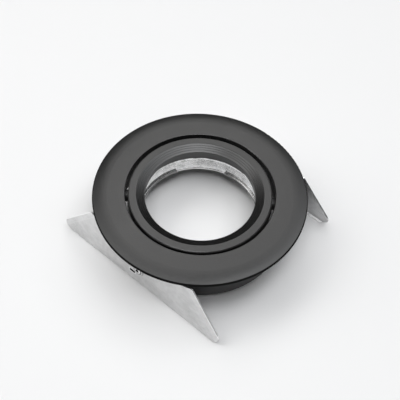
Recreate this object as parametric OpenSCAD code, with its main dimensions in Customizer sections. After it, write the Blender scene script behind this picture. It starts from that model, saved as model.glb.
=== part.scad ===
// Tilting recessed downlight frame for a soffit, shown face up. Lengths are in millimetres.
// +Z points out of the face and the origin is the centre of the flange's seat on the ceiling.
// The leaf springs face +Y and -Y. The tilt axis is level and turned from +X by pivot_turn.

/* [Flange] */
// Width of the flange outside the skirt, which covers the edge of the ceiling hole
seat_w = 6.7; // [6.2:0.1:9]
// Height of the flat face above the ceiling
face_h = 1.67; // [1.5:0.01:2.2]
// Width of the rounded rim, from the flat face to the flange's edge
crown_w = 6; // [4:0.5:6.5]
// Height that the rounded rim falls from the face to the edge
crown_drop = 0.67; // [0.4:0.01:0.8]
// Radius of the small round on the flange's edge
rim_round = 0.5; // [0.2:0.05:0.6]
// Thickness of the face plate round the opening
plate_t = 2; // [1.8:0.1:2.6]
// Radius of the small rounds on the casting's other edges
edge_round = 0.35; // [0.2:0.05:0.5]

/* [Skirt] */
// Room between the flange's opening and the inside of the skirt
skirt_room = 4.55; // [4:0.05:5.5]
// Wall thickness of the skirt
skirt_wall = 2; // [1.6:0.1:2.4]
// Depth of the skirt below the ceiling seat
skirt_h = 18.3; // [17:0.1:20]
// Wall thickness behind the flat that a leaf spring sits on
seat_wall = 3; // [2.5:0.1:3.4]
// Height at which that thicker wall starts above the skirt's lower edge
seat_lift = 0.6; // [0.4:0.1:1]

/* [Tilting ring] */
// Diameter of the bore that the lamp slides into, which sets every diameter outside it
lamp_bore_d = 52; // [51:0.1:60]
// Gap between the flange's opening and the ring's face
ring_gap = 1.38; // [1.1:0.02:1.6]
// Height of the ring's face above the ceiling
ring_face = 1.08; // [0.8:0.02:1.3]
// Height of the ring from its face to its lower edge
ring_h = 17.1; // [16.5:0.1:18]
// Width of the ring's flat face
ring_face_w = 3.07; // [2.8:0.01:3.6]
// Distance of the step at the face's inner edge outward from the lamp bore
step_out = 0.3; // [0:0.05:0.5]
// Depth of that step
step_h = 0.2; // [0.1:0.05:0.4]
// Width of the lip that the lamp rests against
lip_w = 3.2; // [2.5:0.1:4]
// Depth of the lip's edge below the ring's face
lip_drop = 1.8; // [1.4:0.1:2.2]
// Thickness of the lip at its edge
lip_t = 2.3; // [1.8:0.1:2.8]
// Depth of the outer collar below the ring's face
collar_h = 10.6; // [10:0.1:11.5]
// Wall thickness of the tube below the collar
tube_wall = 1.9; // [1.6:0.1:2.2]
// Number of fine turned lines on the cone
line_count = 3; // [0:1:5]
// Depth of each turned line
line_h = 0.12; // [0.05:0.01:0.2]
// Number of turned grooves in the bare part of the bore
groove_count = 5; // [0:1:5]
// Depth of each turned groove in the bore
groove_h = 0.15; // [0.05:0.01:0.2]
// Height of the turned grooves' band
groove_band = 4; // [3.5:0.1:4.2]

/* [Tilt pivots] */
// Angle of the tilt axis from +X
pivot_turn = 37.8; // [20:0.1:50]
// Depth of the tilt axis below the ceiling seat
pivot_drop = 4.5; // [4:0.1:5]
// Depth of the flat pad that is cut on the ring at each pivot
pad_cut = 0.35; // [0.25:0.05:0.45]
// Diameter of the pivot pin
pin_d = 3; // [2.5:0.1:3.2]
// Diameter of the pin's head
pin_head_d = 4.4; // [4:0.1:5]
// Height of the pin's head
pin_head_h = 1.2; // [0.8:0.1:1.6]
// Depth of the pin's head below the skirt's surface
pin_sink = 0.3; // [0.1:0.05:0.6]
// Metal left between the pin's blind bore and the lamp bore
bore_floor = 0.8; // [0.6:0.05:1.1]
// Outer diameter of the friction washer
washer_d = 5; // [4.4:0.1:6]
// Thickness of the friction washer
washer_t = 1.5; // [1.2:0.1:1.7]
// Width of the lug that holds the pin
lug_w = 6.4; // [6:0.1:8]

/* [Leaf springs] */
// Thickness of the spring steel
leaf_t = 0.6; // [0.4:0.05:0.8]
// Length of the leaf's long lower edge, before its corners are cut off
leaf_long = 93; // [88:0.2:94]
// Length of the leaf's upper edge
leaf_short = 53.2; // [50:0.2:56]
// Height of the leaf along its slope
leaf_h = 22.8; // [21.5:0.1:24]
// Gap between the leaf's upper edge and the flange
leaf_gap = 0.5; // [0.3:0.05:1]
// Lean of the leaf from upright, with its lower edge outward
leaf_lean = 5; // [3:0.1:6]
// Length that the cut at each lower corner takes off the lower edge
tip_cut = 9; // [7:0.1:11]
// Angle of that cut from the lower edge
tip_cut_turn = 20; // [12:1:30]
// Radius between that cut and the slanted end
tip_round = 3; // [3:0.1:3.4]
// Radius of the leaf's upper corners
top_round = 1.5; // [0.5:0.1:2.5]
// Depth of the dip in the leaf's upper edge
dip_h = 2.9; // [2:0.1:3.5]
// Width of the dip at its floor
dip_w = 40; // [34:0.5:44]
// Width of the hem that is bent inward along the lower edge
hem_w = 1.4; // [1.2:0.1:2]
// Angle through which the hem is bent
hem_bend = 80; // [70:1:85]
// Inner radius of the hem's bend
hem_round = 0.3; // [0.2:0.05:0.5]
// Width of the slightly bent margin along each slanted end
margin_w = 2.5; // [2:0.1:3]
// Angle through which that margin is bent inward
margin_bend = 6; // [3:0.5:10]
// Length of the small slot beside the rivet
slot_l = 2.4; // [1.6:0.1:2.8]
// Width of that slot
slot_w = 0.9; // [0.6:0.05:1.1]
// Distance of the slot's centre from the rivet along the leaf
slot_x = 3.1; // [2.9:0.1:5]
// Height of the slot's centre above the leaf's lower edge
slot_up = 5.6; // [4:0.1:5.8]

/* [Leaf rivets] */
// Height of the rivet above the skirt's lower edge, along the leaf's slope
rivet_up = 4; // [3.5:0.1:5]
// Diameter of the rivet's body
rivet_d = 2.4; // [2.3:0.1:2.8]
// Diameter of the rivet's head
rivet_head_d = 5; // [4.6:0.1:5.4]
// Height of the rivet's head
rivet_head_h = 0.7; // [0.6:0.05:0.9]
// Height of the head at its edge
rivet_edge_h = 0.25; // [0.2:0.05:0.4]
// Diameter of the hole through the rivet
rivet_hole_d = 1.4; // [1.2:0.05:1.5]
// Diameter of the rivet's swollen blind end
bulb_d = 3.9; // [3.5:0.1:4.2]
// Length of the blind end
bulb_l = 2; // [1.8:0.1:2.4]
// Diameter of the broken stem's head
stem_head_d = 2.3; // [2:0.1:2.6]
// Length of the broken stem's head
stem_head_l = 1.2; // [0.8:0.1:1.3]
// Depth of the stem's broken end below the leaf seat
stem_break = 0.5; // [0.3:0.1:1]

/* [Lamp circlip] */
// Diameter of the circlip's wire
wire_d = 1.4; // [1.2:0.05:1.6]
// Distance of the wire's centre inward from the lamp bore
wire_in = 0.55; // [0.5:0.05:0.7]
// Height of the wire's centre above the ring's lower edge
wire_up = 1.2; // [1.1:0.05:1.5]
// Opening between the circlip's ends, as an angle
clip_open = 50; // [40:1:60]
// Direction of that opening from +X
clip_turn = 128.8; // [110:1:150]

/* [Hidden] */
$fn = 96;

// Overrun of every cut past the face that it opens
over = 0.5;
// Radial clearance of the pin in the housing's bore
pin_fit = 0.02;
// Radial clearance of the pin in the ring's blind bore
pin_run = 0.05;
// Clearance round the pin's head and at the pin's tip
pin_room = 0.1;
// Gap on each side of the friction washer
washer_side = 0.05;
// Radial clearance of the washer on the pin
washer_room = 0.1;
// Radial clearance of the rivet in its bore
rivet_fit = 0.05;
// Radial clearance of the stem in the rivet
stem_fit = 0.05;
// Clearance of the circlip in its groove
wire_fit = 0.05;

// Radii, from the lamp bore outward
lamp_r = lamp_bore_d / 2;
lip_r = lamp_r - lip_w;
tube_r = lamp_r + tube_wall;
step_r = lamp_r + step_out;
ring_r = step_r + ring_face_w;
opening_r = ring_r + ring_gap;
skirt_in_r = opening_r + skirt_room;
skirt_mid_r = skirt_in_r + skirt_wall / 2;
skirt_r = skirt_in_r + skirt_wall;
flange_r = skirt_r + seat_w;
plate_z = face_h - plate_t;
plate_mid_z = face_h - plate_t / 2;
face_r = flange_r - crown_w;
// The rim is an arc that leaves the face level and has fallen by crown_drop at the edge
crown_r = (crown_w * crown_w + crown_drop * crown_drop) / (2 * crown_drop);
crown_z = face_h - crown_r;
// Centre of the small edge round, which touches both the crown and the upright edge
rim_round_z = crown_z + sqrt(pow(crown_r - rim_round, 2) - pow(crown_w - rim_round, 2));
rim_slope = asin((crown_w - rim_round) / (crown_r - rim_round));

pivot_z = -pivot_drop;
ring_bottom = ring_face - ring_h;
// The ring's outside is part of a ball about the tilt axis, so that it turns inside the opening
ball_r = norm([ring_r, ring_face - pivot_z]);
lip_z = ring_face - lip_drop;
ledge_z = lip_z - lip_t;
collar_z = ring_face - collar_h;

pad_u = ball_r - pad_cut;
lug_u = pad_u + washer_t + 2 * washer_side;
pin_r = pin_d / 2;
head_out_u = skirt_r - pin_sink;
head_in_u = head_out_u - pin_head_h;
bore_end_u = lamp_r + bore_floor;
pin_tip_u = bore_end_u + pin_room;
pin_chamfer = pin_r / 5;
sides = [0, 180];

wire_r = wire_d / 2;
clip_r = lamp_r - wire_in;
clip_z = ring_bottom + wire_up;
groove_pitch = groove_band / max(groove_count, 1);
// The grooves' band ends this far above the circlip's groove
groove_z = clip_z + wire_r + wire_fit + wire_r;

leaf_top = (skirt_h - leaf_gap) / cos(leaf_lean);
leaf_bottom = leaf_top - leaf_h;
hem_out_r = hem_round + leaf_t;
hem_flat = hem_w - leaf_t;
// Angle by which the bend's arc runs on into the flats on both sides of it
hem_lap = hem_bend / 8;
hem_z = leaf_bottom + hem_out_r * sin(hem_bend) + hem_flat * cos(hem_bend);
// The leaf's outline is drawn across its length x and up its slope z
tip_corner = [leaf_long / 2, leaf_bottom];
top_corner = [leaf_short / 2, leaf_top];
dip_corner = [dip_w / 2, leaf_top - dip_h];
end_line = top_corner - tip_corner;
end_dir = end_line / norm(end_line);
end_in = [-end_dir.y, end_dir.x];
dip_line = dip_corner - top_corner;
dip_out = [dip_line.y, -dip_line.x] / norm(dip_line);
end_rise = atan2(end_line.y, -end_line.x);
end_angle = atan2(-end_in.y, -end_in.x);
// The cut at the lower corner starts on the lower edge and meets the slanted end in cut_corner
cut_start = tip_corner - [tip_cut, 0];
cut_l = tip_cut * sin(end_rise) / sin(end_rise + tip_cut_turn);
cut_corner = cut_start + cut_l * [cos(tip_cut_turn), sin(tip_cut_turn)];
cut_out = [sin(tip_cut_turn), -cos(tip_cut_turn)];
dip_angle = atan2(dip_out.y, dip_out.x);

rivet_r = rivet_d / 2;
rivet_head_r = rivet_head_d / 2;
rivet_hole_r = rivet_hole_d / 2;
bulb_r = bulb_d / 2;
dome_drop = rivet_head_h - rivet_edge_h;
dome_r = (rivet_head_r * rivet_head_r + dome_drop * dome_drop) / (2 * dome_drop);
bulb_end = -seat_wall - bulb_l;
stem_r = rivet_hole_r - stem_fit;

// Centre of the circle that touches both sides of a corner, found from their outward directions
function corner_centre(corner, radius, from_out, to_out) =
    corner - radius * (from_out + to_out) / (1 + from_out * to_out);

// Cut that rounds a corner: the part of a wedge that lies outside the circle
module corner_cut(centre, radius, from_angle, to_angle) {
    mid_angle = (from_angle + to_angle) / 2;
    translate(centre)
    difference() {
        polygon([
            [0, 0],
            2 * radius * [cos(from_angle), sin(from_angle)],
            3 * radius * [cos(mid_angle), sin(mid_angle)],
            2 * radius * [cos(to_angle), sin(to_angle)]
        ]);
        circle(r = radius);
    }
}

// Places children along the tilt axis on both sides, with their own Z along the axis outward
module at_pivots() {
    for (side = sides)
        rotate([0, 0, pivot_turn + side])
        translate([0, 0, pivot_z])
        rotate([0, 90, 0])
        children();
}

// Places children in a leaf's own frame: x along it, y outward, z up its slope from the skirt's edge
module leaf_frame(side) {
    rotate([0, 0, side])
    translate([0, skirt_r, -skirt_h])
    rotate([leaf_lean, 0, 0])
    children();
}

// Places children on a rivet's axis, with their own Z outward from the leaf's seat
module at_rivets() {
    for (side = sides)
        leaf_frame(side)
        translate([0, 0, rivet_up])
        rotate([-90, 0, 0])
        children();
}

module housing_section() {
    difference() {
        union() {
            translate([opening_r, 0])
            square([face_r - opening_r, face_h]);
            translate([opening_r, plate_z])
            square([skirt_mid_r - opening_r, plate_t]);
            translate([skirt_in_r, -skirt_h])
            square([skirt_wall, skirt_h + face_h / 2]);
            intersection() {
                translate([face_r, crown_z])
                circle(r = crown_r, $fn = 720);
                translate([face_r, 0])
                square([crown_w, face_h]);
            }
        }
        corner_cut([flange_r - rim_round, rim_round_z], rim_round, 0, 90 - rim_slope);
        corner_cut([opening_r + edge_round, face_h - edge_round], edge_round, 90, 180);
        corner_cut([skirt_r - edge_round, edge_round - skirt_h], edge_round, -90, 0);
    }
}

// Flats on the skirt that the leaf springs lie on, cut no higher than the ceiling seat
module leaf_seats() {
    intersection() {
        for (side = sides)
            leaf_frame(side)
            translate([-skirt_r, 0, -over])
            cube([2 * skirt_r, skirt_wall + over, skirt_h + 2 * over]);
        translate([-flange_r, -flange_r, -skirt_h - over])
        cube([2 * flange_r, 2 * flange_r, skirt_h + over]);
    }
}

// Thicker wall inside the skirt behind each leaf
module leaf_pads() {
    intersection() {
        translate([0, 0, seat_lift - skirt_h])
        cylinder(r = skirt_mid_r, h = skirt_h - seat_lift + plate_mid_z);
        for (side = sides)
            leaf_frame(side)
            translate([-skirt_r, -seat_wall, -over])
            cube([2 * skirt_r, seat_wall + skirt_wall, skirt_h + 2 * over]);
    }
}

module pivot_lugs() {
    for (side = sides)
        rotate([0, 0, pivot_turn + side])
        translate([lug_u, -lug_w / 2, pivot_z])
        cube([skirt_mid_r - lug_u, lug_w, plate_mid_z - pivot_z]);
    at_pivots()
    translate([0, 0, lug_u])
    cylinder(d = lug_w, h = skirt_mid_r - lug_u);
}

module housing() {
    color("dimgray")
    difference() {
        union() {
            rotate_extrude()
            housing_section();
            leaf_pads();
            pivot_lugs();
        }
        leaf_seats();
        at_rivets()
        translate([0, 0, -seat_wall - over])
        cylinder(r = rivet_r + rivet_fit, h = seat_wall + 2 * over);
        at_pivots() {
            translate([0, 0, lug_u - over])
            cylinder(r = pin_r + pin_fit, h = head_in_u - lug_u + 2 * over);
            translate([0, 0, head_in_u])
            cylinder(d = pin_head_d + 2 * pin_room, h = pin_head_h + pin_sink + over);
        }
    }
}

// Fine V-shaped lines that the lathe left on the cone
module cone_lines() {
    cone_top = [step_r, ring_face - step_h];
    cone_lip = [lip_r, lip_z];
    for (i = [1:1:line_count]) {
        at = cone_top + (cone_lip - cone_top) * i / (line_count + 1);
        translate(at)
        polygon([[-line_h, line_h], [0, -line_h], [line_h, line_h]]);
    }
}

// V-shaped grooves round the bare part of the bore
module bore_grooves() {
    for (i = [0:1:groove_count - 1])
        translate([lamp_r, groove_z + i * groove_pitch])
        polygon([
            [-over, 0],
            [0, 0],
            [groove_h, groove_pitch / 2],
            [0, groove_pitch],
            [-over, groove_pitch]
        ]);
}

module ring_section() {
    difference() {
        intersection() {
            translate([0, pivot_z])
            circle(r = ball_r);
            translate([0, ring_bottom])
            square([ball_r, ring_h]);
        }
        polygon([
            [0, ring_face + over],
            [step_r, ring_face + over],
            [step_r, ring_face - step_h],
            [lip_r, lip_z],
            [lip_r, ledge_z],
            [lamp_r, ledge_z],
            [lamp_r, ring_bottom - over],
            [0, ring_bottom - over]
        ]);
        polygon([
            [tube_r, ring_bottom - over],
            [tube_r, collar_z - tube_wall / 2],
            [tube_r + tube_wall, collar_z + tube_wall / 2],
            [ball_r + over, collar_z + tube_wall / 2],
            [ball_r + over, ring_bottom - over]
        ]);
        cone_lines();
        bore_grooves();
        translate([clip_r, clip_z])
        circle(r = wire_r + wire_fit);
        corner_cut([ring_r - edge_round, ring_face - edge_round], edge_round, 0, 90);
    }
}

module gimbal_ring() {
    color("darkslategray")
    difference() {
        rotate_extrude()
        ring_section();
        at_pivots() {
            translate([0, 0, bore_end_u])
            cylinder(r = pin_r + pin_run, h = ball_r - bore_end_u + over);
            translate([-ring_h, -ring_h, pad_u])
            cube([2 * ring_h, 2 * ring_h, pad_cut + over]);
        }
    }
}

module lamp_circlip() {
    color("lightsteelblue")
    rotate([0, 0, clip_turn + clip_open / 2])
    rotate_extrude(angle = 360 - clip_open)
    translate([clip_r, clip_z])
    circle(r = wire_r);
}

// Area on the inner side of one skin of the folded sheet, with the bend's centre at the origin
module fold_area(reach, spare) {
    translate([-spare, 0])
    square([reach + spare, leaf_top - hem_z + spare]);
    rotate(-hem_bend)
    translate([-spare, -hem_flat - spare])
    square([reach + spare, hem_flat + spare]);
    intersection() {
        circle(r = reach);
        polygon([
            [0, 0],
            2 * reach * [cos(hem_lap), sin(hem_lap)],
            3 * reach * [cos(hem_bend / 2), -sin(hem_bend / 2)],
            2 * reach * [cos(hem_bend + hem_lap), -sin(hem_bend + hem_lap)]
        ]);
    }
}

// Folded cross-section of the leaf: the flat sheet and the hem that is bent inward
module leaf_fold() {
    translate([-hem_round, hem_z])
    difference() {
        fold_area(hem_out_r, 0);
        fold_area(hem_round, over);
    }
}

// Right half of the leaf's outline: its lower corner cut off, its end rounded and its upper edge dipped
module half_outline() {
    tip_centre = corner_centre(cut_corner, tip_round, cut_out, -end_in);
    top_centre = corner_centre(top_corner, top_round, -end_in, dip_out);
    difference() {
        polygon([
            [0, leaf_bottom],
            cut_start,
            cut_corner,
            top_corner,
            dip_corner,
            [0, leaf_top - dip_h]
        ]);
        corner_cut(tip_centre, tip_round, tip_cut_turn - 90, end_angle);
        corner_cut(top_centre, top_round, end_angle, dip_angle);
    }
}

// Everything within margin_w of the right slanted end
module margin_area() {
    start = tip_corner - leaf_h * end_dir;
    stop = top_corner + leaf_h * end_dir;
    polygon([
        start + margin_w * end_in,
        start - leaf_h * end_in,
        stop - leaf_h * end_in,
        stop + margin_w * end_in
    ]);
}

// Upright prism through the leaf from one depth to another
module through_leaf(from_y, to_y) {
    translate([0, to_y, 0])
    rotate([90, 0, 0])
    linear_extrude(height = to_y - from_y)
    children();
}

// Right half of a leaf: the hemmed sheet, and its margin turned about the crease on the outer face
module half_leaf() {
    crease = tip_corner + margin_w * end_in;
    crease_point = [crease.x, leaf_t, crease.y];
    intersection() {
        rotate([90, 0, 90])
        linear_extrude(height = leaf_long)
        leaf_fold();
        through_leaf(-hem_w, leaf_t + over)
        difference() {
            half_outline();
            margin_area();
        }
    }
    translate(crease_point)
    rotate(a = -margin_bend, v = [end_dir.x, 0, end_dir.y])
    translate(-crease_point)
    through_leaf(0, leaf_t)
    intersection() {
        half_outline();
        margin_area();
    }
}

module leaf_spring(side) {
    color("silver")
    leaf_frame(side)
    difference() {
        union() {
            half_leaf();
            mirror([1, 0, 0])
            half_leaf();
        }
        translate([0, -over, rivet_up])
        rotate([-90, 0, 0])
        cylinder(r = rivet_r + rivet_fit, h = leaf_t + 2 * over);
        translate([slot_x, 0, leaf_bottom + slot_up])
        through_leaf(-over, leaf_t + over)
        square([slot_l, slot_w], center = true);
    }
}

module leaf_spring_front() {
    leaf_spring(180);
}

module leaf_spring_rear() {
    leaf_spring(0);
}

module rivet_section() {
    difference() {
        union() {
            translate([0, -seat_wall - bulb_l / 2])
            square([rivet_r, seat_wall + bulb_l / 2 + leaf_t + rivet_edge_h]);
            intersection() {
                translate([0, leaf_t + rivet_head_h - dome_r])
                circle(r = dome_r, $fn = 360);
                translate([0, leaf_t])
                square([rivet_head_r, rivet_head_h]);
            }
            difference() {
                translate([0, bulb_end])
                square([bulb_r, bulb_l]);
                corner_cut([bulb_r - bulb_l / 3, bulb_end + bulb_l / 3], bulb_l / 3, -90, 0);
            }
        }
        translate([-rivet_hole_r, bulb_end - over])
        square([rivet_hole_d, seat_wall + bulb_l + leaf_t + rivet_head_h + 2 * over]);
    }
}

module leaf_rivets() {
    color("gainsboro")
    at_rivets()
    rotate_extrude()
    rivet_section();
}

module rivet_mandrels() {
    color("slategray")
    at_rivets() {
        translate([0, 0, bulb_end])
        cylinder(r = stem_r, h = -stem_break - bulb_end);
        translate([0, 0, bulb_end - stem_head_l])
        cylinder(d1 = stem_head_d - stem_head_l / 2, d2 = stem_head_d, h = stem_head_l);
    }
}

module pivot_pins() {
    color("lightgray")
    at_pivots() {
        translate([0, 0, pin_tip_u])
        cylinder(r1 = pin_r - pin_chamfer, r2 = pin_r, h = pin_chamfer);
        translate([0, 0, pin_tip_u + pin_chamfer])
        cylinder(r = pin_r, h = head_in_u - pin_tip_u - pin_chamfer);
        translate([0, 0, head_in_u])
        cylinder(d = pin_head_d, h = pin_head_h);
    }
}

module pivot_washers() {
    color("ivory")
    at_pivots()
    translate([0, 0, pad_u + washer_side])
    difference() {
        cylinder(d = washer_d, h = washer_t);
        translate([0, 0, -over])
        cylinder(r = pin_r + washer_room, h = washer_t + 2 * over);
    }
}

housing();
gimbal_ring();
lamp_circlip();
leaf_spring_front();
leaf_spring_rear();
leaf_rivets();
rivet_mandrels();
pivot_pins();
pivot_washers();
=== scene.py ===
"""Looks of a tilting recessed downlight frame, lying face up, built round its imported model.

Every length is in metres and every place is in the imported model's frame: +Z out of the face,
with the origin at the centre of the flange's seat on the ceiling.
"""

import logging
import math
from dataclasses import dataclass, field
from enum import Enum
from functools import reduce
from operator import add
from typing import Any, Mapping, Optional, Sequence, Union

import bpy
from mathutils import Matrix, Vector


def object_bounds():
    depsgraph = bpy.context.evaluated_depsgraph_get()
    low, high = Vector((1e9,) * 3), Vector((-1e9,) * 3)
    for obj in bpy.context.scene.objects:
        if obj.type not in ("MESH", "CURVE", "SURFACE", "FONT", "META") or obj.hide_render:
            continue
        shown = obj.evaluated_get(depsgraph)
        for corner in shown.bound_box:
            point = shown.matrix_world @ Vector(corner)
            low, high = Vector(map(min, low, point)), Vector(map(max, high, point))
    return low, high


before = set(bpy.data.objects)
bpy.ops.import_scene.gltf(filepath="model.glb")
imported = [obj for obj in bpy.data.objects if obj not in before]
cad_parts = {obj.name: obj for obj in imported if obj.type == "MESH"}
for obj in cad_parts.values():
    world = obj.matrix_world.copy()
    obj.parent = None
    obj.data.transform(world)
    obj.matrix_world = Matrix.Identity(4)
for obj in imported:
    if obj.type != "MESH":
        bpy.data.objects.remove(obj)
cad_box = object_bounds()

MM = 0.001
# The middle value of a noise, and the ends between which most of its values lie
NOISE_MIDDLE = 0.5
NOISE_ENDS = (0.3, 0.7)
log = logging.getLogger("downlight")

Value = Union["Signal", float, int, tuple]


class Signal:
    """A shader socket on which Python's operators add Math nodes."""

    def __init__(self, graph: "Graph", socket: bpy.types.NodeSocket) -> None:
        """Keeps the socket and the graph that it belongs to.

        Args:
            graph: The material's graph.
            socket: The output socket that this signal stands for.
        """
        self.graph = graph
        self.socket = socket

    def _math(self, operation: str, *values: Value) -> "Signal":
        """Adds one Math node on these values."""
        inputs = dict(enumerate(values))
        return self.graph.node("ShaderNodeMath", {"operation": operation}, inputs)["Value"]

    def __add__(self, other: Value) -> "Signal":
        """Sum of two values."""
        return self._math("ADD", self, other)

    def __radd__(self, other: Value) -> "Signal":
        """Sum with a plain number on the left."""
        return self._math("ADD", other, self)

    def __sub__(self, other: Value) -> "Signal":
        """Difference of two values."""
        return self._math("SUBTRACT", self, other)

    def __rsub__(self, other: Value) -> "Signal":
        """Difference from a plain number on the left."""
        return self._math("SUBTRACT", other, self)

    def __mul__(self, other: Value) -> "Signal":
        """Product of two values."""
        return self._math("MULTIPLY", self, other)

    def __rmul__(self, other: Value) -> "Signal":
        """Product with a plain number on the left."""
        return self._math("MULTIPLY", other, self)

    def __gt__(self, other: Value) -> "Signal":
        """One where this value is the greater, or else zero."""
        return self._math("GREATER_THAN", self, other)

    def __lt__(self, other: Value) -> "Signal":
        """One where this value is the smaller, or else zero."""
        return self._math("LESS_THAN", self, other)

    def __abs__(self) -> "Signal":
        """Size of the value without its sign."""
        return self._math("ABSOLUTE", self)

    def sign(self) -> "Signal":
        """One above zero and minus one below it."""
        return self._math("SIGN", self)

    def above_zero(self) -> "Signal":
        """The value, or else zero where it is negative."""
        return self._math("MAXIMUM", self, 0.0)

    def ramp(self, low: float, high: float) -> "Signal":
        """Rises smoothly from 0 at low to 1 at high, or falls where low is above high.

        Args:
            low: The value at which the result is 0.
            high: The value at which the result is 1.

        Returns:
            The smooth step as a signal.
        """
        settings = {"interpolation_type": "SMOOTHSTEP"}
        inputs = {"Value": self, "From Min": low, "From Max": high}
        return self.graph.node("ShaderNodeMapRange", settings, inputs)["Result"]

    def line(self, middle: float, half: float) -> "Signal":
        """A soft-edged band that is 1 at its middle and 0 from half its width on."""
        return abs(self - middle).ramp(half, 0.0)

    def held(self) -> "Signal":
        """The value, eased so that it stays between 0 and 1."""
        return self.ramp(0.0, 1.0)

    def spread(self) -> "Signal":
        """A noise whose usual values are stretched to run from 0 to 1."""
        return self.ramp(*NOISE_ENDS)

    def swing(self) -> "Signal":
        """A noise less its middle, so that it swings about zero."""
        return self - NOISE_MIDDLE


def blend(layers: Sequence[Signal], shares: Sequence[float]) -> Signal:
    """Sum of layers, each times its share."""
    return reduce(add, [layer * share for layer, share in zip(layers, shares)])


class Outputs:
    """The output sockets of a node, each as a Signal under its name."""

    def __init__(self, graph: "Graph", node: bpy.types.Node) -> None:
        """Keeps the node and its graph.

        Args:
            graph: The material's graph.
            node: The node whose outputs are wanted.
        """
        self.graph = graph
        self.node = node

    def __getitem__(self, name: str) -> Signal:
        """The first enabled output of that name."""
        found = [s for s in self.node.outputs if s.name == name and s.enabled]
        return Signal(self.graph, found[0])


@dataclass(frozen=True)
class Noise:
    """A noise texture's sizes.

    Attributes:
        scale: Features per metre.
        detail: How many finer layers are added.
        rough: How strong the finer layers are.
        stretch: Factors on the place along X, Y and Z, where a small one draws features out.
    """

    scale: float
    detail: float
    rough: float
    stretch: Optional[tuple[float, float, float]] = None


class Graph:
    """One material's node tree, with the calls that build it."""

    def __init__(self, name: str) -> None:
        """Makes a material that holds only its output node.

        Args:
            name: The material's name.
        """
        self.material = bpy.data.materials.new(name)
        self.material.use_nodes = True
        self.tree = self.material.node_tree
        self.tree.nodes.clear()
        self.output = self.tree.nodes.new("ShaderNodeOutputMaterial")

    def node(
        self,
        kind: str,
        settings: Optional[Mapping[str, Any]] = None,
        inputs: Optional[Mapping[Union[str, int], Value]] = None,
    ) -> Outputs:
        """Adds a node.

        Args:
            kind: Blender's name of the node's type.
            settings: The node's own properties, which are set first.
            inputs: Values or signals for its sockets, by name or number.

        Returns:
            The node's outputs.
        """
        node = self.tree.nodes.new(kind)
        for key, value in (settings or {}).items():
            setattr(node, key, value)
        for key, value in (inputs or {}).items():
            self._feed(node, key, value)
        return Outputs(self, node)

    def _feed(self, node: bpy.types.Node, key: Union[str, int], value: Value) -> None:
        """Links a signal to a socket, or sets the socket's own value.

        Args:
            node: The node that has the socket.
            key: The socket's name or number.
            value: The signal, number or colour that it gets.
        """
        if isinstance(key, int):
            socket = node.inputs[key]
        else:
            socket = next(s for s in node.inputs if s.name == key and s.enabled)
        if isinstance(value, Signal):
            self.tree.links.new(value.socket, socket)
        elif socket.type == "RGBA":
            socket.default_value = (*value, 1.0)
        else:
            socket.default_value = value

    def place(self) -> Signal:
        """The point on the surface in the object's own coordinates, which follow its body."""
        return self.node("ShaderNodeTexCoord")["Object"]

    def parts_of(self, vector: Signal) -> tuple[Signal, Signal, Signal]:
        """The X, Y and Z parts of a vector."""
        split = self.node("ShaderNodeSeparateXYZ", inputs={"Vector": vector})
        return split["X"], split["Y"], split["Z"]

    def scaled(self, vector: Signal, factors: tuple[float, float, float]) -> Signal:
        """A vector multiplied part by part."""
        settings = {"operation": "MULTIPLY"}
        return self.node("ShaderNodeVectorMath", settings, {0: vector, 1: factors})["Vector"]

    def length(self, vector: Signal) -> Signal:
        """The length of a vector."""
        return self.node("ShaderNodeVectorMath", {"operation": "LENGTH"}, {0: vector})["Value"]

    def radius(self, place: Signal) -> Signal:
        """The distance of a point from the Z axis."""
        return self.length(self.scaled(place, (1.0, 1.0, 0.0)))

    def away(self, across: Signal, up: Signal) -> Signal:
        """The distance of a point across and up from zero."""
        joined = self.node("ShaderNodeCombineXYZ", inputs={"X": across, "Y": up})["Vector"]
        return self.length(joined)

    def noise(self, place: Signal, kind: Noise) -> Signal:
        """A noise texture's value.

        Args:
            place: The point to look the noise up at.
            kind: The noise's sizes.

        Returns:
            The noise as a signal from about 0 to 1.
        """
        at = self.scaled(place, kind.stretch) if kind.stretch else place
        inputs = {"Vector": at, "Scale": kind.scale, "Detail": kind.detail, "Roughness": kind.rough}
        return self.node("ShaderNodeTexNoise", inputs=inputs)["Fac"]

    def mixed(self, factor: Signal, first: Value, second: Value) -> Signal:
        """A colour between two colours.

        Args:
            factor: The second colour's share.
            first: The colour where the factor is 0.
            second: The colour where the factor is 1.

        Returns:
            The colour as a signal.
        """
        settings = {"data_type": "RGBA"}
        inputs = {"Factor": factor, "A": first, "B": second}
        return self.node("ShaderNodeMix", settings, inputs)["Result"]

    def bump(self, height: Signal, distance: float, strength: float) -> Signal:
        """A normal that a height bends."""
        inputs = {"Height": height, "Distance": distance, "Strength": strength}
        return self.node("ShaderNodeBump", inputs=inputs)["Normal"]

    def shader(self, inputs: Mapping[str, Value]) -> Signal:
        """A Principled shader with these sockets."""
        return self.node("ShaderNodeBsdfPrincipled", inputs=inputs)["BSDF"]

    def surface(self, inputs: Mapping[str, Value]) -> bpy.types.Material:
        """Ends the graph in one Principled shader."""
        return self._ended(self.shader(inputs))

    def two_surfaces(
        self, factor: Signal, first: Mapping[str, Value], second: Mapping[str, Value]
    ) -> bpy.types.Material:
        """Ends the graph in a mix of two Principled shaders.

        Args:
            factor: The second shader's share.
            first: The first shader's sockets by name.
            second: The second shader's sockets by name.

        Returns:
            The finished material.
        """
        inputs = {0: factor, 1: self.shader(first), 2: self.shader(second)}
        return self._ended(self.node("ShaderNodeMixShader", inputs=inputs)["Shader"])

    def _ended(self, shader: Signal) -> bpy.types.Material:
        """Links the last shader to the output."""
        self.tree.links.new(shader.socket, self.output.inputs["Surface"])
        return self.material


def grey(level: float) -> tuple[float, float, float]:
    """A neutral grey as linear light."""
    return (level, level, level)


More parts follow.
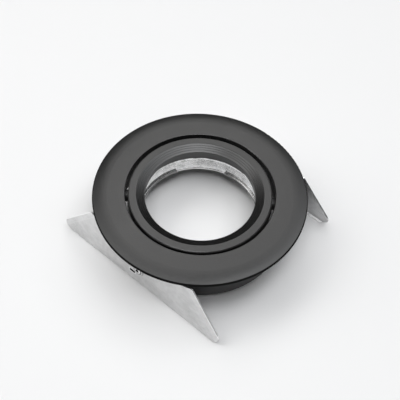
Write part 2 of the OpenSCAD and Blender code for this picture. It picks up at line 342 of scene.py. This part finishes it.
@dataclass(frozen=True)
class PowderCoat:
    """Matte black powder coat with its fine grain of speckle, spots and cloud."""

    dark: float = 0.003
    light: float = 0.008
    # Lighter grey of the coat's edges: edge wear, and partly a painted highlight
    wear_and_highlight_tone: float = 0.022
    gloss: float = 0.8
    roughness: float = 0.34
    speckle: Noise = Noise(2600.0, 2.0, 0.6)
    spots: Noise = Noise(1000.0, 2.0, 0.6)
    cloud: Noise = Noise(65.0, 3.0, 0.5)
    # Shares of the speckle, spots and cloud in the tone and in the roughness
    tone_shares: tuple[float, float, float] = (0.5, 0.3, 0.2)
    rough_shares: tuple[float, float, float] = (0.12, 0.14, 0.08)
    worn_smoother: float = 0.04
    spots_relief: float = 1.2
    relief_height: float = 0.03 * MM
    relief_strength: float = 0.5

    def sockets(self, graph: Graph, place: Signal, edges: Signal) -> dict[str, Value]:
        """The coat's colour, roughness and grain.

        Args:
            graph: The material's graph.
            place: The point on the surface.
            edges: How much lighter the coat is at each place, from 0 to 1: edge wear, and partly a
                painted highlight on the edges.

        Returns:
            The shader's sockets by name.
        """
        speckle = graph.noise(place, self.speckle)
        spots = graph.noise(place, self.spots)
        cloud = graph.noise(place, self.cloud)
        tone = blend((speckle, spots, cloud), self.tone_shares).spread()
        coat = graph.mixed(tone, grey(self.dark), grey(self.light))
        grain = blend((speckle.swing(), spots.swing(), cloud.swing()), self.rough_shares)
        relief = speckle + spots * self.spots_relief
        return {
            # The lighter edges are wear, and partly a painted highlight
            "Base Color": graph.mixed(edges, coat, grey(self.wear_and_highlight_tone)),
            "Specular IOR Level": self.gloss,
            "Roughness": self.roughness + grain - edges * self.worn_smoother,
            "Normal": graph.bump(relief, self.relief_height, self.relief_strength),
        }


@dataclass(frozen=True)
class CastingFinish:
    """The casting's coat: lighter at the opening's edge from wear and a painted highlight, with
    painted shade on the upright rim and the skirt.
    """

    name: str
    coat: PowderCoat = PowderCoat()
    opening_radius: float = 30.75 * MM
    wear_and_highlight_width: float = 0.45 * MM
    rim_radius: float = 43.7 * MM
    rim_fade: float = 0.2 * MM
    skirt_top: float = -0.1 * MM
    skirt_shade_share: float = 0.45
    # A darker, flatter coat on the upright rim and the skirt: painted shade
    shaded_coat_tone: float = 0.004
    shaded_coat_gloss: float = 0.1
    shaded_coat_roughness: float = 0.8

    def material(self) -> bpy.types.Material:
        """Mixes the coat with a darker, flatter one, which paints shade onto the rim and a share of
        the skirt.

        Returns:
            The finished material.
        """
        graph = Graph(self.name)
        place = graph.place()
        height = graph.parts_of(place)[2]
        radius = graph.radius(place)
        # Lighter band at the opening's edge: wear, and partly a painted highlight
        edges = radius.line(self.opening_radius, self.wear_and_highlight_width)
        # Painted shade on the upright rim
        rim = radius.ramp(self.rim_radius - self.rim_fade, self.rim_radius)
        # Painted shade on the skirt under the flange
        skirt = (height < self.skirt_top) * self.skirt_shade_share
        shaded_coat = {
            "Base Color": grey(self.shaded_coat_tone),
            "Specular IOR Level": self.shaded_coat_gloss,
            "Roughness": self.shaded_coat_roughness,
        }
        return graph.two_surfaces(rim + skirt, self.coat.sockets(graph, place, edges), shaded_coat)


@dataclass(frozen=True)
class BareBore:
    """Bright turned metal in the lower part of the bore, with streaks and duller patches."""

    dark: float = 0.74
    light: float = 1.0
    roughness: float = 0.08
    streak: Noise = Noise(2400.0, 3.0, 0.7, (0.12, 0.12, 1.0))
    patch: Noise = Noise(320.0, 2.0, 0.6, (1.0, 1.0, 0.5))
    # Shares of the streaks and patches in the tone
    tone_shares: tuple[float, float] = (0.4, 0.6)
    tone_ends: tuple[float, float] = (0.36, 0.56)
    streak_rough: float = 0.25
    patch_relief: float = 1.5
    relief_height: float = 0.1 * MM
    relief_strength: float = 0.6

    def sockets(self, graph: Graph, place: Signal) -> dict[str, Value]:
        """The metal's colour, roughness and turning marks.

        Args:
            graph: The material's graph.
            place: The point on the surface.

        Returns:
            The shader's sockets by name.
        """
        streak = graph.noise(place, self.streak)
        patch = graph.noise(place, self.patch)
        tone = blend((streak, patch), self.tone_shares).ramp(*self.tone_ends)
        relief = streak + patch * self.patch_relief
        return {
            "Base Color": graph.mixed(tone, grey(self.dark), grey(self.light)),
            "Metallic": 1.0,
            "Roughness": self.roughness + streak * self.streak_rough,
            "Normal": graph.bump(relief, self.relief_height, self.relief_strength),
        }


@dataclass(frozen=True)
class RingFinish:
    """The ring's black coat, which ends at a ragged edge in the bore, with bare metal below."""

    name: str
    coat: PowderCoat = PowderCoat()
    bare: BareBore = BareBore()
    bore_radius: float = 26.45 * MM
    edge_z: float = -8.6 * MM
    edge_ragged: float = 0.8 * MM
    edge_soft: float = 0.05 * MM
    tear: Noise = Noise(420.0, 4.0, 0.65, (1.0, 1.0, 0.4))
    rim_radius: float = 29.37 * MM
    step_radius: float = 26.3 * MM
    step_share: float = 0.6
    wear_and_highlight_width: float = 0.4 * MM
    wear_and_highlight_bottom: float = 0.3 * MM

    def material(self) -> bpy.types.Material:
        """Mixes the coat with the bore's bare metal.

        Returns:
            The finished material.
        """
        graph = Graph(self.name)
        place = graph.place()
        height = graph.parts_of(place)[2]
        radius = graph.radius(place)
        edge = self.edge_z + graph.noise(place, self.tear).swing() * (2 * self.edge_ragged)
        below = (edge - height).ramp(-self.edge_soft, self.edge_soft)
        # Lighter bands at the ring's rim and step: wear, and partly a painted highlight
        rim = radius.line(self.rim_radius, self.wear_and_highlight_width)
        step = radius.line(self.step_radius, self.wear_and_highlight_width) * self.step_share
        ring_wear_and_highlight = (rim + step) * (height > self.wear_and_highlight_bottom)
        coat = self.coat.sockets(graph, place, ring_wear_and_highlight)
        metal = self.bare.sockets(graph, place)
        return graph.two_surfaces(below * (radius < self.bore_radius), coat, metal)


@dataclass(frozen=True)
class LeafEnds:
    """The leaf's slanted, sheared ends, with a painted highlight along the cut edge, along the
    pressed crease and on the margin beside them.
    """

    foot_half: float = 46.5 * MM
    foot_z: float = -23.2 * MM
    slope_deg: float = 48.8
    edge_highlight_width: float = 0.45 * MM
    crease_in: float = 2.5 * MM
    crease_half: float = 0.35 * MM
    crease_highlight_share: float = 0.35
    margin_fade: float = 0.4 * MM
    margin_highlight_share: float = 0.25

    def brightness(self, across: Signal, height: Signal) -> Signal:
        """The painted highlight along the leaf's ends.

        Args:
            across: The distance from the leaf's middle along it.
            height: The Z place.

        Returns:
            How much painted highlight each place gets, from 0 to 1.
        """
        slope = math.radians(self.slope_deg)
        drop = (height - self.foot_z) * math.cos(slope)
        inward = (self.foot_half - across) * math.sin(slope) - drop
        # Painted highlights along the cut edge, the crease and the margin
        edge = inward.ramp(self.edge_highlight_width, 0.0)
        crease = inward.line(self.crease_in, self.crease_half) * self.crease_highlight_share
        margin = inward.ramp(self.crease_in, self.crease_in - self.margin_fade)
        return (edge + crease + margin * self.margin_highlight_share).held()


@dataclass(frozen=True)
class LeafSlot:
    """The small slot beside the leaf's rivet: painted shade at its edge, and a painted highlight on
    the burr round that.
    """

    middle_x: float = 3.1 * MM
    middle_z: float = -17.6 * MM
    half_length: float = 1.2 * MM
    half_height: float = 0.45 * MM
    shade_reach: float = 0.35 * MM
    shade_core: float = 0.15 * MM
    # Strength of the painted shade in the slot
    dark_share: float = 0.95
    burr_highlight_out: float = 0.5 * MM
    burr_highlight_half: float = 0.3 * MM

    def marks(self, graph: Graph, along: Signal, height: Signal) -> tuple[Signal, Signal]:
        """The painted shade at the slot's edge and the painted highlight on its burr.

        Args:
            graph: The material's graph.
            along: The place along the leaf, which is positive on the slot's side.
            height: The Z place.

        Returns:
            How much painted shade and how much painted highlight each place gets, both from 0 to 1.
        """
        reach = (abs(along - self.middle_x) - self.half_length).above_zero()
        rise = (abs(height - self.middle_z) - self.half_height).above_zero()
        out = graph.away(reach, rise)
        # Painted shade at the slot's edge, and a painted highlight on its burr
        dark = out.ramp(self.shade_reach, self.shade_core) * self.dark_share
        return dark, out.line(self.burr_highlight_out, self.burr_highlight_half)


@dataclass(frozen=True)
class LeafSteel:
    """Satin spring steel sheet: rolling lines, smudges and dimples, with painted highlights on its
    ends, slot burr and hem, and painted shade round the rivet and in the slot.
    """

    name: str
    ends: LeafEnds = LeafEnds()
    slot: LeafSlot = LeafSlot()
    dark: float = 0.56
    light: float = 0.75
    # Grey of the painted highlights on the ends, burr and hem
    painted_highlight_grey: float = 0.96
    # Grey of the painted shade round the rivet and in the slot
    painted_shade_grey: float = 0.02
    roughness: float = 0.32
    lines: Noise = Noise(3800.0, 3.0, 0.6, (0.04, 1.0, 1.0))
    smudge: Noise = Noise(90.0, 4.0, 0.6)
    dimple: Noise = Noise(420.0, 2.0, 0.5)
    # Shares of the lines, smudges and dimples in the tone, and of the first two in the roughness
    tone_shares: tuple[float, float, float] = (0.25, 0.45, 0.3)
    rough_shares: tuple[float, float] = (0.1, 0.2)
    dimple_relief: float = 3.0
    relief_height: float = 0.01 * MM
    relief_strength: float = 0.5
    # Height of the rivet's slanting axis where it leaves the sheet
    rivet_z: float = -14.25 * MM
    # Painted shade in a ring round the rivet's head
    rivet_shade_radius: float = 2.65 * MM
    rivet_shade_half: float = 0.25 * MM
    rivet_shade_share: float = 0.6
    # The hem is painted as a highlight: lighter and less metallic than the sheet
    hem_y: float = 37.55 * MM
    hem_z: float = -22.0 * MM
    hem_highlight_matte: float = 0.7

    def material(self) -> bpy.types.Material:
        """Paints highlights on the sheet's ends, slot burr and hem, and paints shade round the
        rivet and in the slot.

        Returns:
            The finished material.
        """
        graph = Graph(self.name)
        place = graph.place()
        x, y, z = graph.parts_of(place)
        lines = graph.noise(place, self.lines)
        smudge = graph.noise(place, self.smudge)
        dimple = graph.noise(place, self.dimple)
        tone = blend((lines, smudge, dimple), self.tone_shares).spread()
        steel = graph.mixed(tone, grey(self.dark), grey(self.light))
        ends = self.ends.brightness(abs(x), z)
        slot, burr = self.slot.marks(graph, x * y.sign(), z)
        # Painted highlight on the hem
        hem = (abs(y) < self.hem_y) * (z < self.hem_z)
        bright = graph.mixed((ends + burr + hem).held(), steel, grey(self.painted_highlight_grey))
        head = graph.away(x, z - self.rivet_z)
        # Painted shade round the rivet's head
        painted_rivet_shade = head.line(self.rivet_shade_radius, self.rivet_shade_half) * self.rivet_shade_share
        grain = blend((lines.swing(), smudge.swing()), self.rough_shares)
        relief = lines + dimple * self.dimple_relief + ends
        shader = {
            "Base Color": graph.mixed((painted_rivet_shade + slot).held(), bright, grey(self.painted_shade_grey)),
            "Metallic": 1.0 - hem * self.hem_highlight_matte,
            "Roughness": self.roughness + grain,
            "Normal": graph.bump(relief, self.relief_height, self.relief_strength),
        }
        return graph.surface(shader)


@dataclass(frozen=True)
class WorkMarks:
    """Fine marks that drawing and pressing leave on the small metal parts."""

    noise: Noise = Noise(3000.0, 3.0, 0.6)
    rough_share: float = 0.15
    height: float = 0.01 * MM
    strength: float = 0.5

    def surface(
        self, graph: Graph, mark: Signal, colour: Signal, roughness: float
    ) -> bpy.types.Material:
        """Ends the graph in metal with these marks.

        Args:
            graph: The material's graph.
            mark: The marks' noise.
            colour: The metal's colour.
            roughness: Its roughness, about which the marks' own swings.

        Returns:
            The finished material.
        """
        shader = {
            "Base Color": colour,
            "Metallic": 1.0,
            "Roughness": roughness + mark.swing() * self.rough_share,
            "Normal": graph.bump(mark, self.height, self.strength),
        }
        return graph.surface(shader)


@dataclass(frozen=True)
class RivetMetal:
    """Blind rivet: painted shade in its hole and round its rim, and a painted highlight on the head
    between.
    """

    name: str
    marks: WorkMarks = WorkMarks()
    dark: float = 0.62
    light: float = 0.76
    painted_highlight_grey: float = 0.98
    painted_shade_grey: float = 0.01
    roughness: float = 0.28
    # Height of the rivet's slanting axis at the top of its head
    axis_z: float = -14.2 * MM
    # The hole is painted dark as shade
    hole_radius: float = 0.75 * MM
    hole_fade: float = 0.1 * MM
    # Ring of painted highlight on the head's top
    highlight_radius: float = 1.15 * MM
    highlight_half: float = 0.5 * MM
    # Ring of painted shade round the head's rim, made patchy by the marks
    head_shade_radius: float = 1.85 * MM
    head_shade_half: float = 0.45 * MM
    head_shade_share: float = 0.75
    head_shade_swing: float = 0.5

    def material(self) -> bpy.types.Material:
        """Paints a highlight on the head's top, and paints shade in the hole and round the rim.

        Returns:
            The finished material.
        """
        graph = Graph(self.name)
        place = graph.place()
        x, _, z = graph.parts_of(place)
        out = graph.away(x, z - self.axis_z)
        mark = graph.noise(place, self.marks.noise)
        metal = graph.mixed(mark.spread(), grey(self.dark), grey(self.light))
        # Painted highlight on the head's top
        painted_crest_highlight = out.line(self.highlight_radius, self.highlight_half)
        bright = graph.mixed(painted_crest_highlight, metal, grey(self.painted_highlight_grey))
        # Painted shade round the rim, made patchy by the marks
        patchy = self.head_shade_share + mark.swing() * self.head_shade_swing
        painted_head_shade = out.line(self.head_shade_radius, self.head_shade_half) * patchy
        # Painted shade in the hole
        hole = out.ramp(self.hole_radius + self.hole_fade, self.hole_radius)
        colour = graph.mixed((painted_head_shade + hole).held(), bright, grey(self.painted_shade_grey))
        return self.marks.surface(graph, mark, colour, self.roughness)


@dataclass(frozen=True)
class DrawnSteel:
    """Drawn steel of the small parts: wire, pins and rivet stems, each with its own tone."""

    name: str
    tone: float
    roughness: float
    marks: WorkMarks = WorkMarks()
    dark_share: float = 0.85

    def material(self) -> bpy.types.Material:
        """Varies the tone by the drawing marks.

        Returns:
            The finished material.
        """
        graph = Graph(self.name)
        mark = graph.noise(graph.place(), self.marks.noise)
        colour = graph.mixed(mark.spread(), grey(self.tone * self.dark_share), grey(self.tone))
        return self.marks.surface(graph, mark, colour, self.roughness)


@dataclass(frozen=True)
class WasherNylon:
    """Black nylon of the friction washers."""

    name: str
    dark: float = 0.02
    light: float = 0.026
    roughness: float = 0.45
    cloud: Noise = Noise(900.0, 2.0, 0.5)
    rough_share: float = 0.1

    def material(self) -> bpy.types.Material:
        """Varies the tone and roughness by a faint cloud.

        Returns:
            The finished material.
        """
        graph = Graph(self.name)
        cloud = graph.noise(graph.place(), self.cloud)
        colour = graph.mixed(cloud.spread(), grey(self.dark), grey(self.light))
        rough = self.roughness + cloud.swing() * self.rough_share
        return graph.surface({"Base Color": colour, "Roughness": rough})


@dataclass(frozen=True)
class StudioPaper:
    """The pale floor."""

    name: str = "studio_floor"
    dark: float = 0.8557
    light: float = 0.86
    tooth: Noise = Noise(60.0, 3.0, 0.5)
    gloss: float = 0.1
    roughness: float = 0.9

    def material(self) -> bpy.types.Material:
        """Varies the tone by the paper's tooth.

        Returns:
            The finished material.
        """
        graph = Graph(self.name)
        tooth = graph.noise(graph.place(), self.tooth)
        colour = graph.mixed(tooth, grey(self.dark), grey(self.light))
        shader = {
            "Base Color": colour,
            "Specular IOR Level": self.gloss,
            "Roughness": self.roughness,
        }
        return graph.surface(shader)


@dataclass
class PhotoCamera:
    """The camera, at the photograph's place and angle."""

    place: tuple[float, float, float] = (106.8 * MM, -137.6 * MM, 227.8 * MM)
    heading_deg: float = 37.8
    elevation_deg: float = 53.16
    roll_deg: float = 3.38
    focal_px: float = 700.0
    frame_px: float = 400.0
    sensor_mm: float = 36.0
    clip_near: float = 0.01
    clip_far: float = 20.0

    def build(self) -> None:
        """Adds the camera and makes it the scene's own."""
        data = bpy.data.cameras.new("photo_camera")
        data.sensor_width = self.sensor_mm
        data.lens = self.focal_px / self.frame_px * self.sensor_mm
        data.clip_start = self.clip_near
        data.clip_end = self.clip_far
        camera = bpy.data.objects.new("photo_camera", data)
        down = math.radians(self.elevation_deg)
        turn = math.radians(self.heading_deg)
        roll = math.radians(self.roll_deg)
        tilt = Matrix.Rotation(math.pi / 2 - down, 4, "X")
        level = Matrix.Rotation(turn, 4, "Z") @ tilt
        camera.matrix_world = Matrix.Translation(self.place) @ level @ Matrix.Rotation(roll, 4, "Z")
        bpy.context.scene.collection.objects.link(camera)
        bpy.context.scene.camera = camera


class Tint(Enum):
    """The lights' colours: those on the shadow side are a little cooler."""

    WARM = (1.0, 0.995, 0.985)
    COOL = (0.985, 0.995, 1.01)


@dataclass(frozen=True)
class SoftBox:
    """One soft light, placed by its direction seen from the object."""

    name: str
    azimuth_deg: float
    elevation_deg: float
    watts: float
    tint: Tint
    distance: float = 1.2
    width: float = 0.55

    def build(self) -> None:
        """Adds the light, facing the object."""
        data = bpy.data.lights.new(self.name, "AREA")
        data.shape = "SQUARE"
        data.size = self.width
        data.energy = self.watts
        data.color = self.tint.value
        light = bpy.data.objects.new(self.name, data)
        azimuth = math.radians(self.azimuth_deg)
        rise = math.radians(self.elevation_deg)
        level = Vector((math.cos(azimuth), math.sin(azimuth), 0.0)) * math.cos(rise)
        out = level + Vector((0.0, 0.0, math.sin(rise)))
        light.location = out * self.distance
        light.rotation_mode = "QUATERNION"
        light.rotation_quaternion = out.to_track_quat("Z", "Y")
        bpy.context.scene.collection.objects.link(light)


@dataclass
class Studio:
    """Floor, soft lights, and a white room that the camera sees but that gives no light."""

    floor_half: float = 0.6
    room_level: float = 0.9
    paper: StudioPaper = StudioPaper()
    lights: list[SoftBox] = field(
        default_factory=lambda: [
            SoftBox("front_top", 307.8, 72.0, 5.6, Tint.COOL),
            SoftBox("right_top", 37.8, 72.0, 3.2, Tint.COOL),
            SoftBox("left_top", 217.8, 72.0, 1.1, Tint.WARM),
            SoftBox("left", 217.8, 50.0, 3.1, Tint.WARM),
            SoftBox("left_low", 217.8, 25.0, 1.4, Tint.WARM),
            SoftBox("back_left", 195.8, 50.0, 0.9, Tint.WARM),
            SoftBox("back_left_top", 157.8, 62.0, 1.0, Tint.WARM),
            SoftBox("back", 127.8, 50.0, 1.9, Tint.WARM),
            SoftBox("back_right", 82.8, 50.0, 1.3, Tint.COOL),
            SoftBox("right", 59.8, 50.0, 1.0, Tint.COOL),
        ]
    )

    def build(self) -> None:
        """Adds the floor, the lights and the room."""
        self._lay_floor()
        for light in self.lights:
            light.build()
        self._paint_room()
        bpy.context.scene.view_settings.view_transform = "Standard"

    def _lay_floor(self) -> None:
        """Adds the floor just under the object."""
        half = self.floor_half
        low = cad_box[0].z
        corners = [(-half, -half, low), (half, -half, low), (half, half, low), (-half, half, low)]
        mesh = bpy.data.meshes.new("floor")
        mesh.from_pydata(corners, [], [(0, 1, 2, 3)])
        mesh.materials.append(self.paper.material())
        floor = bpy.data.objects.new("floor", mesh)
        bpy.context.scene.collection.objects.link(floor)

    def _paint_room(self) -> None:
        """Makes a white world that only the camera sees."""
        world = bpy.data.worlds.new("white_room")
        world.use_nodes = True
        room = world.node_tree.nodes["Background"]
        room.inputs["Color"].default_value = (*grey(1.0), 1.0)
        room.inputs["Strength"].default_value = self.room_level
        world.cycles_visibility.diffuse = False
        world.cycles_visibility.glossy = False
        bpy.context.scene.world = world


def dress(node: str, material: bpy.types.Material) -> None:
    """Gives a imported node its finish.

    Args:
        node: The node's name.
        material: The finish.
    """
    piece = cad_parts[node]
    piece.data.materials.clear()
    piece.data.materials.append(material)
    log.info("dressed %s with %s", node, material.name)


@dataclass
class Casting:
    """The housing."""

    finish: CastingFinish = CastingFinish("housing_powder_coat")

    def build(self) -> None:
        """Dresses the housing."""
        dress("housing", self.finish.material())


@dataclass
class TiltingRing:
    """The ring with its circlip, pins and washers."""

    finish: RingFinish = RingFinish("ring_coat_and_bare_bore")
    wire: DrawnSteel = DrawnSteel("circlip_wire", 0.4, 0.22)
    pin: DrawnSteel = DrawnSteel("pin_steel", 0.08, 0.4)
    nylon: WasherNylon = WasherNylon("washer_nylon")

    def build(self) -> None:
        """Dresses the ring, the circlip that holds the lamp, and the ring's pins and washers."""
        dress("gimbal_ring", self.finish.material())
        dress("lamp_circlip", self.wire.material())
        dress("pivot_pins", self.pin.material())
        dress("pivot_washers", self.nylon.material())


@dataclass
class LeafSprings:
    """The two leaf springs with their rivets and the rivets' broken stems."""

    steel: LeafSteel = LeafSteel("leaf_spring_steel")
    rivet: RivetMetal = RivetMetal("rivet_metal")
    # The stems' near-black tone is painted shade in the rivets' holes
    stem: DrawnSteel = DrawnSteel("rivet_stem_painted_shade", 0.03, 0.5)

    def build(self) -> None:
        """Dresses the leaves, the rivets and the stems."""
        steel = self.steel.material()
        for leaf in ("leaf_spring_front", "leaf_spring_rear"):
            dress(leaf, steel)
        dress("leaf_rivets", self.rivet.material())
        dress("rivet_mandrels", self.stem.material())


def main() -> None:
    """Builds the camera, the studio and each sub-assembly in order."""
    logging.basicConfig(level=logging.INFO, format="%(name)s: %(message)s")
    PhotoCamera().build()
    Studio().build()
    for assembly in (Casting(), TiltingRing(), LeafSprings()):
        assembly.build()
        log.info("built %s", type(assembly).__name__)


if __name__ == "__main__":
    main()
